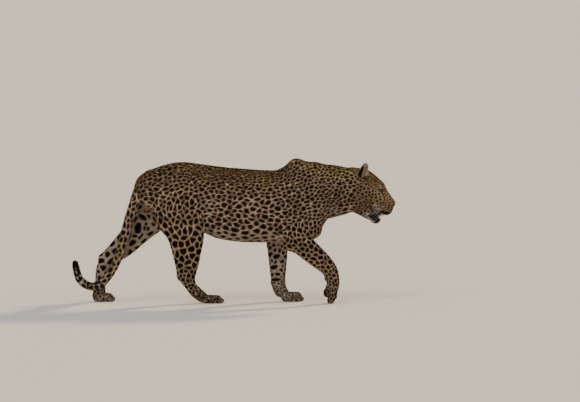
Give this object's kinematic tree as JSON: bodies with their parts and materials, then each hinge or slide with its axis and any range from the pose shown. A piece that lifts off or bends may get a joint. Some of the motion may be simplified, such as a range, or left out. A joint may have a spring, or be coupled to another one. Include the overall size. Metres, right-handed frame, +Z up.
{
  "type": "leopard",
  "caption": "Life-size standing leopard in mid walk: long low body, head carried low with the mouth open, hanging tail with an upturned tip.",
  "frame": {"origin": "middle of the bounding box, on the floor under the body", "axes": "+X the way the animal walks, +Y to its left, +Z up"},
  "size_m": [1.5586, 0.2786, 0.6946],
  "materials": {
    "coat_body": "short golden fur with black rosettes",
    "coat_head": "very short golden fur with small black spots",
    "coat_legs": "short fur with solid black spots",
    "coat_tail": "short fur with black spots and bands",
    "coat_pale": "short off-white fur",
    "eye": "wet glossy, olive-gold iris with round black pupil",
    "nose": "damp bare skin",
    "tongue": "wet, rough with small spines",
    "tooth": "ivory, smooth"
  },
  "bodies": {
    "root": {"canine_lower_left": "tooth", "canine_lower_right": "tooth", "canine_upper_left": "tooth", "canine_upper_right": "tooth", "ear_left": "coat_head", "ear_right": "coat_head", "eye_left": "eye", "eye_right": "eye", "forearm_left": "coat_legs", "forearm_right": "coat_legs", "forepaw_left": "coat_legs", "forepaw_right": "coat_legs", "head": "coat_head", "hindfoot_left": "coat_legs", "hindfoot_right": "coat_legs", "hindpaw_left": "coat_legs", "hindpaw_right": "coat_legs", "jaw_lower": "coat_pale", "neck": "coat_body", "nose": "nose", "scrotum": "coat_body", "shank_left": "coat_legs", "shank_right": "coat_legs", "tail_bend": "coat_tail", "tail_middle": "coat_tail", "tail_root": "coat_tail", "tail_tip": "coat_tail", "thigh_left": "coat_body", "thigh_right": "coat_body", "tongue": "tongue", "trunk_front": "coat_body", "trunk_middle": "coat_body", "trunk_rear": "coat_body", "upper_foreleg_left": "coat_body", "upper_foreleg_right": "coat_body"}
  },
  "joints": []
}
